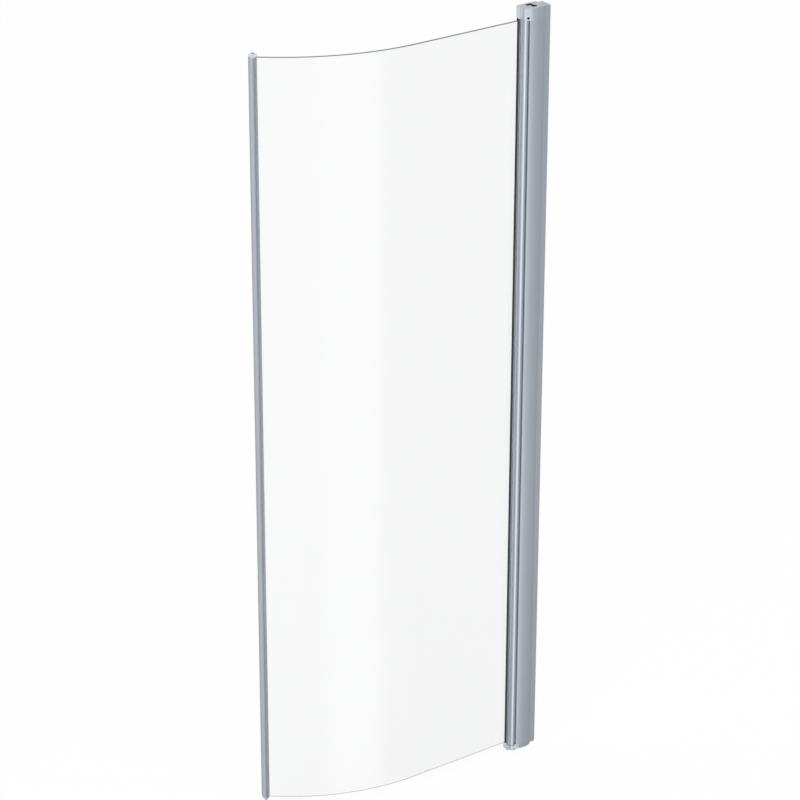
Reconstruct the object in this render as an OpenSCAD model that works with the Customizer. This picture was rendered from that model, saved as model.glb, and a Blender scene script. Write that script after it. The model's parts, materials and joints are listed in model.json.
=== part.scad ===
// Curved shower door: a clear bent glass leaf between a pivot post on the wall and a full-height
// closing and grip profile.
// Millimetres. The wall is the plane x = 0 and the door reaches towards -x. The outside of the
// shower is on -y, so the glass bows towards -y. The origin is the middle of the wall channel's back.
// Heights are measured from the glass's lower edge in the comments, and set out below in [Hidden].

/* [Glass] */
// Height of the glass
glass_h = 1900; // [600:10:2100]
// Thickness of the toughened glass
glass_t = 6; // [5:1:8]
// Straight stretch of the glass beside the hinge
hinge_flat = 282; // [120:1:400]
// Radius of the bend, at the middle of the glass's thickness
bend_r = 515; // [350:5:900]
// Angle that the glass turns through
bend_angle = 37.4; // [15:0.1:50]
// Straight stretch of the glass from the bend to the middle of the grip
grip_flat = 47; // [30:1:150]

/* [Wall channel] */
// Width of the channel, along the glass's thickness
channel_w = 31.6; // [30:0.2:40]
// Depth of the channel, out from the wall
channel_depth = 32; // [30:0.5:36]
// Wall thickness of the channel
channel_wall = 1.8; // [1.4:0.1:2.4]
// Stretch of the channel that shows between the wall and the post
channel_exposed = 16; // [12:1:18]
// How far the channel ends below the glass
channel_drop = 4; // [2:0.5:5]
// How far the channel ends above the glass
channel_rise = 31; // [24:1:32]
// Diameter of the wall screw holes
wall_hole_d = 5.5; // [4:0.5:7]
// Distance between the highest and the lowest wall screw
wall_hole_outer = 1700; // [400:10:1900]
// Distance between the two middle wall screws
wall_hole_inner = 560; // [120:10:800]
// Thickness of the channel's end caps
channel_cap_t = 2; // [1:0.5:2]
// Depth of the end caps' plugs
channel_plug_h = 8; // [4:1:16]

/* [Post] */
// Length of the post's section, from its wall edge to its hinge edge
post_reach = 43; // [40:0.5:50]
// How far the front of the post bulges out
post_bulge = 5.3; // [2:0.1:8]
// Wall thickness of the post
post_wall = 1.6; // [1.2:0.1:2.2]
// Gap between the sliding faces of post and channel
slide_gap = 0.2; // [0.1:0.05:0.4]
// Distance of the post's inner web from its wall edge
web_in = 27; // [26:0.5:29]
// Radius of the screw ports' holes
port_r = 1.5; // [1.2:0.1:1.8]
// Wall of the screw ports
port_wall = 1.9; // [1.2:0.1:2.2]

/* [Hinge] */
// Diameter of the hinge bead
bead_d = 22; // [21:0.5:23]
// Diameter of the bead's bore
bead_bore_d = 14; // [12:0.5:15]
// Distance of the hinge axis from the post's hinge edge
axis_ahead = 2; // [1:0.1:3]
// Distance of the hinge axis in front of the post's back
axis_in = 20.1; // [19:0.1:21]
// Distance of the glass's middle behind the hinge axis
glass_behind = 16.1; // [15.5:0.1:17]
// Gap between the bead and its socket in the post
socket_gap = 1.2; // [1:0.1:1.5]
// Radius of the round ears of the top and bottom cap
ear_r = 12.5; // [12.2:0.1:13]
// Diameter of the pivot pins
pin_d = 6; // [5:0.5:7]
// Radial clearance of the running fits
running_gap = 0.05; // [0.02:0.01:0.08]
// Radial clearance of pieces that are pushed into each other
seat_gap = 0.02; // [0.01:0.01:0.04]
// Depth of the bushes in the bead
bush_h = 24; // [16:1:40]
// Wall of the jaws that hold the glass
jaw_wall = 1.6; // [1.2:0.1:2.2]
// Depth of the jaws, from their web to their lips
jaw_depth = 8.5; // [8:0.5:14]
// Thickness of the gasket on each side of the glass
gasket_t = 1; // [0.6:0.1:1.5]
// How far the gasket shows beyond the jaws
gasket_lip = 1.7; // [1.5:0.1:6]
// Thickness of the gasket's visible lips
gasket_lip_t = 0.8; // [0.6:0.1:2.4]

/* [Caps] */
// Height of the top cap's top above the glass
cap_rise = 34.8; // [34.6:0.2:44]
// Height of the top cap's underside above the glass
cap_under = 5.5; // [4:0.5:8]
// How far both caps reach over the ends of the jaws
cap_lap = 0.8; // [0.4:0.1:2]
// Thickness of the top cap's plate
cap_plate = 1.5; // [1:0.1:1.6]
// Height of the hole for the grub screw above the glass
grub_level = 11.3; // [10:0.1:16]
// Direction of the grub screw, turned from straight ahead towards the glass
grub_turn = 8; // [0:1:12]
// Diameter of the grub screw's hole
grub_d = 5.8; // [4:0.2:6]
// Radius of the screw well in the top cap
well_r = 6.6; // [4:0.1:6.8]
// Depth of the recess with the insert on its floor
recess_depth = 5.5; // [4:0.5:7]
// How far the bottom cap ends below the glass
foot_plate_drop = 8; // [8:0.5:12]
// How far the foot under the hinge ends below the glass
foot_drop = 12.5; // [12.5:0.5:20]
// How far the block under the jaws ends below the glass
jaw_block_drop = 18; // [13:0.5:22]
// Gap between the door's own profile and the bottom cap under it
door_gap = 0.4; // [0.3:0.1:1.5]
// Height of the bottom cap's rim above the glass's lower edge, under the post
foot_rim = 4; // [2:0.5:8]
// Thickness of the bottom cap's floor
foot_floor = 1.5; // [1:0.1:1.6]
// Direction of the notch's edge that frees the door's jaws, seen from above
notch_angle = 82; // [78:1:86]

/* [Grip] */
// Depth of the grip profile outside the glass
grip_front = 20.5; // [16:0.5:26]
// Depth of the grip profile inside the glass
grip_back = 16.5; // [14:0.5:22]
// Width of the grip profile beyond the middle, towards the closing edge
grip_left = 8.2; // [7:0.1:12]
// Width of the grip profile beyond the middle, towards the glass
grip_right = 10; // [8:0.5:14]
// How far the front ridge lies off the middle
ridge_shift = 3; // [0:0.5:4]
// How far the grip's four faces bulge out
grip_bulge = 1.2; // [0.4:0.1:2]
// Depth of the grip's slot behind its middle
slot_in = 1.5; // [1:0.5:2]
// Width of the magnet seal
magnet_w = 7.8; // [6:0.2:9]
// How far the magnet seal stands proud
magnet_proud = 0.8; // [0.5:0.1:3]
// Thickness of the grip's end caps
grip_cap_t = 4; // [2:0.5:6]
// Height of the grip's lower end above the glass's lower edge
grip_lift = 2; // [0:0.5:10]
// Length of the pointed drip nose under the grip
nose_h = 8; // [3:0.5:12]

/* [Hidden] */
$fn = 96;
eps = 0.01;
// Levels. The channel is centred on the origin, and all other heights follow the glass in it.
channel_len = glass_h + channel_drop + channel_rise;
channel_low = -channel_len / 2;
channel_high = channel_len / 2;
glass_low = channel_low + channel_drop;
glass_high = glass_low + glass_h;
cap_top = glass_high + cap_rise;
cap_low = glass_high + cap_under;
rim_top = glass_low + foot_rim;
plate_low = glass_low - foot_plate_drop;
foot_low = glass_low - foot_drop;
jaw_block_low = glass_low - jaw_block_drop;
post_len = cap_low - rim_top;
// Section of the post and the channel
channel_half = channel_w / 2;
bay_half = channel_half + slide_gap;
post_half = bay_half + post_wall;
post_right = -channel_exposed;
post_left = post_right - post_reach;
web_right = post_right - web_in;
bulge_chord = post_reach / 2;
bulge_r = (bulge_chord * bulge_chord + post_bulge * post_bulge) / (2 * post_bulge);
bulge_x = post_right - bulge_chord;
bulge_y = -post_half - post_bulge + bulge_r;
port_out = port_r + port_wall;
front_port = [web_right + 2.8, -5.4];
back_port = [web_right + 1, 7.6];
// Hinge
axis_x = post_left - axis_ahead;
axis_y = post_half - axis_in;
glass_y = axis_y + glass_behind;
bead_r = bead_d / 2;
bead_bore_r = bead_bore_d / 2;
socket_r = bead_r + socket_gap;
pin_r = pin_d / 2;
web_gap = 1;
jaw_back = axis_x - web_gap;
jaw_left = jaw_back - jaw_depth;
jaw_half = glass_t / 2 + gasket_t;
jaw_front_y = glass_y - jaw_half - jaw_wall;
jaw_back_y = glass_y + jaw_half + jaw_wall;
neck_w = 6;
glass_edge = jaw_back - gasket_t;
gasket_left = jaw_left - gasket_lip;
flange_h = 0.8;
flange_r = bead_bore_r + 2;
washer_h = 1.5;
collar_h = 1.4;
face_gap = 0.1;
bead_high = cap_low - face_gap - flange_h;
pivot_inset = 0.8;
cup_gap = 0.8;
cup_r = flange_r + cup_gap;
rim_r = bead_r + cup_gap;
// The door's own pieces reach down into the cup by the bottom bush's flange, the washer and a collar.
flange_low = glass_low - foot_rim + 0.4;
washer_low = flange_low - face_gap - washer_h;
cup_floor = washer_low - face_gap - collar_h;
// Plan of the glass
seal_x = axis_x - 10;
bend_x = seal_x - hinge_flat;
bend_y = glass_y + bend_r;
grip_x = bend_x - bend_r * sin(bend_angle) - grip_flat * cos(bend_angle);
grip_y = bend_y - bend_r * cos(bend_angle) + grip_flat * sin(bend_angle);
glass_past = 1;
// Screws
screw_r = 1.45;
head_r = 3.2;
head_h = 2.4;
screw_bite = 22;
well_floor = cap_low + 10;
recess_left = web_right - 10;
recess_right = web_right + 7.5;
recess_front = 1.8;
recess_back = 12.8;
insert_t = 1.5;
block_right = web_right + 10.6;
block_half = 13.8;
adjust_in = 10;
adjust_out = 6;
adjust_x = post_right - adjust_out;
adjust_r = 2;
adjust_pitch = channel_len * 0.4;
adjust_levels = [-adjust_pitch, 0, adjust_pitch];
nut_side = 8;
nut_t = 3;
// Section of the grip, in its own plan: +x towards the hinge, +y towards the inside
shoulder_front = jaw_half + 2;
shoulder_back = jaw_half + 1;
grip_low = glass_low + grip_lift + grip_cap_t;
grip_high = glass_high + 1;
grip_port = [0.3, 10.5];

// Helpers

// A bar between two corners given in plan, from one level to another
module bar(low_corner, high_corner, from, to) {
    translate([low_corner.x, low_corner.y, from])
        cube([high_corner.x - low_corner.x, high_corner.y - low_corner.y, to - from]);
}

module slab(low_corner, high_corner) {
    translate(low_corner)
        square(high_corner - low_corner);
}

module prism(from, to) {
    translate([0, 0, from])
        linear_extrude(to - from)
            children();
}

module at_axis() {
    translate([axis_x, axis_y])
        children();
}

module rod(centre, r, from, to) {
    translate([centre.x, centre.y, from])
        cylinder(r = r, h = to - from);
}

axis = [axis_x, axis_y];

// How far flat faces run into the round ones that they blend into, so that they cross cleanly
blend = 0.05;

// Point where the line from a point blends into the ear's circle on its left
function touch_ear(point) =
    let (d = point - axis, r = ear_r - blend, turn = atan2(d.y, d.x) - acos(r / norm(d)))
    axis + r * [cos(turn), sin(turn)];

// Centre of the circle that bulges out by a given rise between two points, to the left of the way
// from the first to the second
function bulge_centre(a, b, rise) =
    let (way = b - a, r = bulge_radius(a, b, rise), side = [-way.y, way.x] / norm(way))
    (a + b) / 2 - (r - rise) * side;
function bulge_radius(a, b, rise) =
    let (half = norm(b - a) / 2) (half * half + rise * rise) / (2 * rise);

// Wall channel

module channel_section() {
    difference() {
        slab([-channel_depth, -channel_half], [0, channel_half]);
        slab([-channel_depth - 1, -channel_half + channel_wall],
            [-channel_wall, channel_half - channel_wall]);
    }
}

// Slot in the back leg, long enough for the post's whole travel
module adjusting_slot(level) {
    for (x = [adjust_x - adjust_out, adjust_x + adjust_in])
        translate([x, channel_half + 1, level])
            rotate([90, 0, 0])
                cylinder(r = adjust_r + slide_gap, h = channel_wall + 2);
    bar([adjust_x - adjust_out, channel_half - channel_wall - 1], [adjust_x + adjust_in, channel_half + 1],
        level - adjust_r - slide_gap, level + adjust_r + slide_gap);
}

module wall_channel() {
    color([0.68, 0.70, 0.73])
    difference() {
        prism(channel_low, channel_high) channel_section();
        for (level = [-wall_hole_outer, -wall_hole_inner, wall_hole_inner, wall_hole_outer] / 2)
            translate([-channel_wall - 1, 0, level])
                rotate([0, 90, 0])
                    cylinder(d = wall_hole_d, h = channel_wall + 2);
        for (level = adjust_levels)
            adjusting_slot(level);
    }
}

// End cap of the channel, with the plate at the given level and the plug inside it
module channel_cap(plate_from, plug_from) {
    plug_half = channel_half - channel_wall - seat_gap;
    bar([-channel_exposed - adjust_out, -channel_half], [0, channel_half],
        plate_from, plate_from + channel_cap_t);
    bar([-channel_exposed + 2, -plug_half], [-channel_wall - seat_gap, plug_half],
        plug_from, plug_from + channel_plug_h);
}

module channel_top_cap() {
    color([0.62, 0.64, 0.67])
        channel_cap(channel_high, channel_high - channel_plug_h);
}

module channel_bottom_cap() {
    color([0.62, 0.64, 0.67])
        channel_cap(channel_low - channel_cap_t, channel_low);
}

// Post

// The curved front between the post's two edges, moved in by an inset
module front_segment(inset) {
    intersection() {
        translate([bulge_x, bulge_y])
            circle(r = bulge_r - inset, $fn = 256);
        slab([post_left + inset, -post_half - post_bulge - 1], [post_right, -bay_half + 1]);
    }
}

module post_outline() {
    slab([post_left, -bay_half], [post_right, post_half]);
    front_segment(0);
}

// Everything hollow in the post: the bay for the channel and the chamber beside the socket
module post_hollow() {
    slab([web_right, -bay_half], [post_right + 1, bay_half]);
    slab([post_left + post_wall, -bay_half], [web_right - post_wall, bay_half]);
    difference() {
        front_segment(post_wall);
        slab([web_right - post_wall, -post_half - post_bulge], [web_right, -bay_half + 1]);
        slab([post_right - 4, -post_half - post_bulge], [post_right, -bay_half]);
    }
}

module port(centre) {
    translate(centre)
        circle(r = port_out);
    slab([web_right - post_wall, centre.y - port_wall], [centre.x, centre.y + port_wall]);
}

module post_section() {
    difference() {
        union() {
            difference() {
                post_outline();
                post_hollow();
            }
            port(front_port);
            port(back_port);
            intersection() {
                at_axis() circle(r = socket_r + post_wall);
                slab([post_left, -post_half], [web_right - post_wall, post_half]);
            }
        }
        at_axis() circle(r = socket_r);
        translate(front_port) circle(r = port_r);
        translate(back_port) circle(r = port_r);
    }
}

module hinge_post() {
    color([0.66, 0.69, 0.72])
    difference() {
        prism(rim_top, cap_low) post_section();
        for (level = adjust_levels)
            translate([adjust_x, post_half + 1, level])
                rotate([90, 0, 0])
                    cylinder(r = adjust_r + seat_gap, h = post_wall + 2);
    }
}

// Soft strip in the socket's throat, which closes the gap to the bead
seal_from = 284;
seal_to = 300;
seal_gap = 0.4;
module socket_seal() {
    reach = 2 * socket_r;
    color([0.16, 0.16, 0.17])
        prism(rim_top, cap_low)
            at_axis()
                intersection() {
                    difference() {
                        circle(r = socket_r - seat_gap);
                        circle(r = bead_r + seal_gap);
                    }
                    polygon([
                        [0, 0],
                        reach * [cos(seal_from), sin(seal_from)],
                        reach * [cos(seal_to), sin(seal_to)]
                    ]);
                }
}

// Caps

// Plan of the caps over the door's own profile: the round ear over the bead, and the box over the jaws
module ear_outline() {
    at_axis() circle(r = ear_r);
    slab([jaw_left - cap_lap, jaw_front_y], [post_left + eps, jaw_back_y]);
    slab([jaw_left - cap_lap, axis_y], [axis_x, jaw_front_y + eps]);
}

// The part of that plan under the jaws, behind the pivot pin
module jaw_block_outline() {
    intersection() {
        ear_outline();
        slab([axis_x - 2 * ear_r, axis_y + pin_r + 1], [axis_x, jaw_back_y]);
    }
}

// Plan of both caps: the post, the ear, and the flat front between them
module cap_outline() {
    post_outline();
    ear_outline();
    tip = [post_left, blend - post_half];
    polygon([axis, touch_ear(tip), tip, [post_left, axis_y]]);
    slab([axis_x, axis_y], [post_right, jaw_back_y]);
}

// The part of that plan beside the bead, right of a slanting line that the open door doesn't reach
module flank_outline() {
    reach = 2 * post_reach;
    intersection() {
        cap_outline();
        at_axis() rotate(notch_angle - 90) slab([0, -reach], [reach, reach]);
    }
}

// Room for the channel inside a cap, round the block that takes the screws
module cap_bay(from, to) {
    difference() {
        bar([web_right, -bay_half], [post_right + 1, bay_half], from, to);
        bar([web_right - 1, -block_half], [block_right, block_half], from - 1, to + 1);
    }
}

module top_cap() {
    color([0.72, 0.74, 0.77])
    difference() {
        prism(cap_low, cap_top) cap_outline();
        cap_bay(cap_low - 1, cap_top - cap_plate);
        rod(axis, pin_r + seat_gap, cap_low - 1, cap_top - recess_depth);
        at_grub()
            cylinder(d = grub_d, h = 2 * ear_r);
        bar([recess_left, recess_front], [recess_right, recess_back], cap_top - recess_depth, cap_top + 1);
        rod(front_port, well_r, well_floor, cap_top + 1);
        rod(back_port, head_r + face_gap, well_floor, cap_top);
        for (place = [front_port, back_port])
            rod(place, screw_r + seat_gap, cap_low - 1, well_floor + 1);
    }
}

// Light plate on the floor of the recess, which clears the screw well
module top_cap_insert() {
    color([0.86, 0.87, 0.88])
    difference() {
        bar([recess_left + face_gap, recess_front + face_gap],
            [recess_right - face_gap, recess_back - face_gap],
            cap_top - recess_depth, cap_top - recess_depth + insert_t);
        rod(front_port, well_r, cap_top - recess_depth - 1, cap_top + 1);
    }
}

module top_pivot_pin() {
    color([0.75, 0.76, 0.78])
        rod(axis, pin_r, bead_high - bush_h + 2, cap_top - recess_depth - 1);
}

// On the axis at the grub screw's level, with +z along the screw
module at_grub() {
    translate([axis_x, axis_y, glass_high + grub_level])
        rotate([90, 0, -grub_turn])
            children();
}

module pin_grub_screw() {
    length = 6;
    hex_r = 1.4;
    color([0.20, 0.20, 0.22])
        at_grub()
            translate([0, 0, pin_r + seat_gap])
                difference() {
                    cylinder(r = grub_d / 2 - seat_gap, h = length);
                    translate([0, 0, length - 2])
                        cylinder(r = hex_r, h = 3, $fn = 6);
                }
}

// One screw along +z, with its head's top at the origin and its shank below
module cap_screw(grip) {
    translate([0, 0, -head_h])
        difference() {
            cylinder(r = head_r, h = head_h);
            translate([0, 0, head_h - 1.4])
                cylinder(r = 1.7, h = 2, $fn = 6);
        }
    translate([0, 0, -head_h - grip - screw_bite])
        cylinder(r = screw_r, h = grip + screw_bite);
}

module top_cap_screws() {
    color([0.70, 0.71, 0.73])
        for (place = [front_port, back_port])
            translate([place.x, place.y, well_floor + head_h])
                cap_screw(well_floor - cap_low);
}

module bottom_cap() {
    color([0.72, 0.74, 0.77])
    difference() {
        union() {
            prism(plate_low, glass_low - door_gap) cap_outline();
            prism(glass_low - door_gap - eps, rim_top) flank_outline();
            prism(foot_low, plate_low + eps) ear_outline();
            prism(jaw_block_low, plate_low + eps) jaw_block_outline();
        }
        cap_bay(plate_low + foot_floor, rim_top + 1);
        rod(axis, rim_r, glass_low - door_gap, rim_top + 1);
        rod(axis, cup_r, cup_floor, rim_top + 1);
        rod(axis, pin_r + seat_gap, foot_low + pivot_inset, cup_floor + 1);
        for (place = [front_port, back_port]) {
            rod(place, screw_r + seat_gap, plate_low - 1, rim_top + 1);
            rod(place, head_r + face_gap, plate_low - 1, plate_low + head_h + face_gap);
        }
    }
}

module bottom_cap_screws() {
    color([0.70, 0.71, 0.73])
        for (place = [front_port, back_port])
            translate([place.x, place.y, plate_low + face_gap])
                mirror([0, 0, 1])
                    cap_screw(foot_plate_drop + foot_rim - head_h);
}

// Steel pin in the foot, with the collar that carries the door's weight on the washer
module bottom_pivot_pin() {
    color([0.75, 0.76, 0.78]) {
        rod(axis, pin_r, foot_low + pivot_inset, glass_low + bush_h - 4);
        rod(axis, pin_r + 3, cup_floor, cup_floor + collar_h);
    }
}

module thrust_washer() {
    color([0.88, 0.88, 0.86])
    difference() {
        rod(axis, flange_r, washer_low, washer_low + washer_h);
        rod(axis, pin_r + running_gap, washer_low - 1, washer_low + washer_h + 1);
    }
}

// Adjusting screws through the back leg, into nut plates inside the channel

module each_adjuster(y) {
    for (level = adjust_levels)
        translate([adjust_x, y, level])
            rotate([-90, 0, 0])
                children();
}

adjust_head_r = 4;
adjust_head_h = 2.2;
nut_y = channel_half - channel_wall - nut_t - face_gap;

module adjusting_screws() {
    length = post_half - nut_y + 1;
    color([0.75, 0.76, 0.78])
        each_adjuster(post_half) {
            cylinder(r = adjust_head_r, h = adjust_head_h);
            translate([0, 0, -length])
                cylinder(r = adjust_r, h = length + eps);
        }
}

module adjusting_nuts() {
    color([0.70, 0.71, 0.73])
        each_adjuster(nut_y)
            difference() {
                translate([-nut_side / 2, -nut_side / 2, 0])
                    cube([nut_side, nut_side, nut_t]);
                translate([0, 0, -1])
                    cylinder(r = adjust_r + seat_gap, h = nut_t + 2);
            }
}

module adjusting_screw_covers() {
    cover_wall = 1;
    room_r = adjust_head_r + face_gap;
    room_h = adjust_head_h + face_gap;
    color([0.62, 0.64, 0.67])
        each_adjuster(post_half)
            difference() {
                cylinder(r = room_r + cover_wall, h = room_h + cover_wall);
                translate([0, 0, -1])
                    cylinder(r = room_r, h = room_h + 1);
            }
}

// Door

// Plan of the glass: straight from the jaws, round the bend, straight again into the grip
module glass_plan() {
    wedge = 1.4 * bend_r;
    slab([bend_x - eps, glass_y - glass_t / 2], [glass_edge, glass_y + glass_t / 2]);
    translate([bend_x, bend_y])
        intersection() {
            difference() {
                circle(r = bend_r + glass_t / 2, $fn = 256);
                circle(r = bend_r - glass_t / 2, $fn = 256);
            }
            polygon([[0, 0], wedge * [0, -1], wedge * [-sin(bend_angle), -cos(bend_angle)]]);
        }
    in_grip()
        slab([-glass_past, -glass_t / 2], [grip_flat + eps, glass_t / 2]);
}

module glass_panel() {
    color([0.80, 0.88, 0.87, 0.35])
        prism(glass_low, glass_high) glass_plan();
}

module jaws_plan() {
    slab([jaw_left, jaw_front_y], [jaw_back + jaw_wall, jaw_back_y]);
    slab([jaw_back + jaw_wall - neck_w, axis_y], [jaw_back + jaw_wall, jaw_front_y + eps]);
    at_axis() circle(r = bead_r);
}

module hinge_bead() {
    color([0.66, 0.69, 0.72])
        prism(glass_low, bead_high)
            difference() {
                jaws_plan();
                slab([jaw_left - 1, glass_y - jaw_half], [jaw_back, glass_y + jaw_half]);
                at_axis() circle(r = bead_bore_r);
            }
}

module glazing_gasket() {
    thin = glass_t / 2;
    lip = thin + gasket_lip_t;
    color([0.16, 0.16, 0.17])
        prism(glass_low, bead_high)
            difference() {
                union() {
                    slab([jaw_left, glass_y - jaw_half], [jaw_back, glass_y + jaw_half]);
                    slab([gasket_left, glass_y - lip], [jaw_left + eps, glass_y + lip]);
                }
                slab([gasket_left - 1, glass_y - thin], [glass_edge, glass_y + thin]);
            }
}

module top_bush() {
    color([0.88, 0.88, 0.86])
    difference() {
        union() {
            rod(axis, bead_bore_r - seat_gap, bead_high - bush_h, bead_high);
            rod(axis, flange_r, bead_high, bead_high + flange_h);
        }
        rod(axis, pin_r + running_gap, bead_high - bush_h - 1, bead_high + flange_h + 1);
    }
}

module bottom_bush() {
    color([0.88, 0.88, 0.86])
    difference() {
        union() {
            rod(axis, bead_bore_r - seat_gap, glass_low, glass_low + bush_h);
            rod(axis, flange_r, flange_low, glass_low);
        }
        rod(axis, pin_r + running_gap, flange_low - 1, glass_low + bush_h + 1);
    }
}

// Grip

module in_grip() {
    translate([grip_x, grip_y])
        rotate(-bend_angle)
            children();
}

front_ridge = [ridge_shift, -grip_front];
back_ridge = [0, grip_back];
left_front = [-grip_left, -shoulder_front];
left_back = [-grip_left, shoulder_back];
right_front = [grip_right, -shoulder_front];
right_back = [grip_right, shoulder_back];

// A disc through two corners, which bounds one bulging face of the grip
module face_disc(a, b, inset) {
    translate(bulge_centre(a, b, grip_bulge))
        circle(r = bulge_radius(a, b, grip_bulge) - inset, $fn = 256);
}

module grip_outline(inset) {
    intersection() {
        slab([-grip_left + inset, -grip_front + 0.6 + inset], [grip_right - inset, grip_back - 0.6 - inset]);
        face_disc(front_ridge, left_front, inset);
        face_disc(right_front, front_ridge, inset);
        face_disc(back_ridge, right_back, inset);
        face_disc(left_back, back_ridge, inset);
    }
}

// Hollow of the front nose
module grip_chamber(inset) {
    intersection() {
        grip_outline(jaw_wall + inset);
        slab([-2 * grip_left, -2 * grip_front], [2 * grip_right, -shoulder_front - jaw_wall - inset]);
    }
}

module magnet_groove(gap) {
    slab([-grip_left - 2, -magnet_w / 2 - gap], [-grip_left + 3.4 + gap, magnet_w / 2 + gap]);
}

module grip_slot() {
    slab([-slot_in, -jaw_half], [grip_right + 1, jaw_half]);
}

module grip_section() {
    difference() {
        grip_outline(0);
        grip_slot();
        magnet_groove(face_gap);
        grip_chamber(0);
        translate(grip_port) circle(r = port_r);
    }
}

module grip_profile() {
    color([0.66, 0.69, 0.72])
        prism(grip_low, grip_high)
            in_grip()
                grip_section();
}

module grip_gasket() {
    color([0.55, 0.57, 0.58])
        prism(grip_low, glass_high)
            in_grip()
                difference() {
                    slab([-slot_in, -jaw_half], [grip_right, jaw_half]);
                    slab([-glass_past, -glass_t / 2], [grip_right + 1, glass_t / 2]);
                }
}

magnet_t = 2.4;
module magnet_pocket(gap) {
    slab([-grip_left - magnet_proud + 0.8 - gap, -magnet_w / 2 + 0.8 - gap],
        [-grip_left - magnet_proud + 0.8 + magnet_t + gap, magnet_w / 2 - 0.8 + gap]);
}

module magnet_seal() {
    color([0.60, 0.61, 0.64])
        prism(grip_low, grip_high)
            in_grip()
                difference() {
                    slab([-grip_left - magnet_proud, -magnet_w / 2], [-grip_left + 3.4, magnet_w / 2]);
                    magnet_pocket(seat_gap);
                }
}

module magnet_strip() {
    color([0.12, 0.12, 0.13])
        prism(grip_low, grip_high)
            in_grip()
                magnet_pocket(0);
}

module grip_top_cap() {
    color([0.86, 0.87, 0.88])
    difference() {
        union() {
            prism(grip_high, grip_high + grip_cap_t) in_grip() grip_outline(0);
            prism(grip_high - 10, grip_high) in_grip() grip_chamber(face_gap);
        }
        in_grip_at(grip_high + grip_cap_t)
            mirror([0, 0, 1]) {
                translate([0, 0, -1]) cylinder(r = screw_r + seat_gap, h = 2 * grip_cap_t);
                translate([0, 0, -1]) cylinder(r = 2.8, h = 1 + 2.6);
            }
    }
}

module grip_bottom_cap() {
    low = grip_low - grip_cap_t;
    color([0.62, 0.64, 0.67])
    difference() {
        union() {
            prism(low, grip_low) in_grip() grip_outline(0);
            prism(grip_low, grip_low + 10) in_grip() grip_chamber(face_gap);
            prism(low - nose_h, low) in_grip()
                intersection() {
                    grip_outline(0);
                    slab([-grip_left, -grip_front], [grip_right, -grip_front + 3]);
                }
        }
        prism(low - 1, grip_low + 1) in_grip()
            slab([-slot_in, -glass_t / 2 - seat_gap], [grip_right + 1, glass_t / 2 + seat_gap]);
        in_grip_at(low) {
            translate([0, 0, -1]) cylinder(r = screw_r + seat_gap, h = 2 * grip_cap_t);
            translate([0, 0, -1]) cylinder(r = 2.8, h = 1 + 2.6);
        }
    }
}

// At the grip's screw port, on a level
module in_grip_at(level) {
    translate([grip_x, grip_y, level])
        rotate(-bend_angle)
            translate(grip_port)
                children();
}

// Screw with its head 0.6 under the cap's face, pointing along +z
module grip_screw() {
    translate([0, 0, 0.6])
        difference() {
            cylinder(r = 2.7, h = 2);
            translate([0, 0, -1])
                cylinder(r = 1.4, h = 2, $fn = 6);
        }
    translate([0, 0, 2.6 - eps])
        cylinder(r = screw_r, h = 12);
}

module grip_cap_screws() {
    color([0.30, 0.31, 0.33]) {
        in_grip_at(grip_high + grip_cap_t) mirror([0, 0, 1]) grip_screw();
        in_grip_at(grip_low - grip_cap_t) grip_screw();
    }
}

wall_channel();
channel_top_cap();
channel_bottom_cap();
hinge_post();
socket_seal();
top_cap();
top_cap_insert();
top_pivot_pin();
pin_grub_screw();
top_cap_screws();
bottom_cap();
bottom_cap_screws();
bottom_pivot_pin();
thrust_washer();
adjusting_screws();
adjusting_nuts();
adjusting_screw_covers();
glass_panel();
hinge_bead();
glazing_gasket();
top_bush();
bottom_bush();
grip_profile();
grip_gasket();
magnet_seal();
magnet_strip();
grip_top_cap();
grip_bottom_cap();
grip_cap_screws();
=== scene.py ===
# %% [markdown]
# # A curved shower door, dressed in Blender
#
# The door is a clear sheet of bent glass between a silver hinge post and a slim pointed grip. The
# imported model holds every piece at its real size and place. This lesson gives the pieces their
# rounded edges and their finishes, and lights them as in a bright studio.
#
# First the imported model is loaded. Its box is kept, and the floor is laid just under it.
# Sizes are written in millimetres, as a workshop does, and MM turns them into Blender's metres.

# %% Load the imported door
import json
from functools import partial
from math import acos, atan2, ceil, cos, degrees, log, pi, radians, sin, sqrt

import bmesh
import bpy
from mathutils import Matrix, Vector


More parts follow.
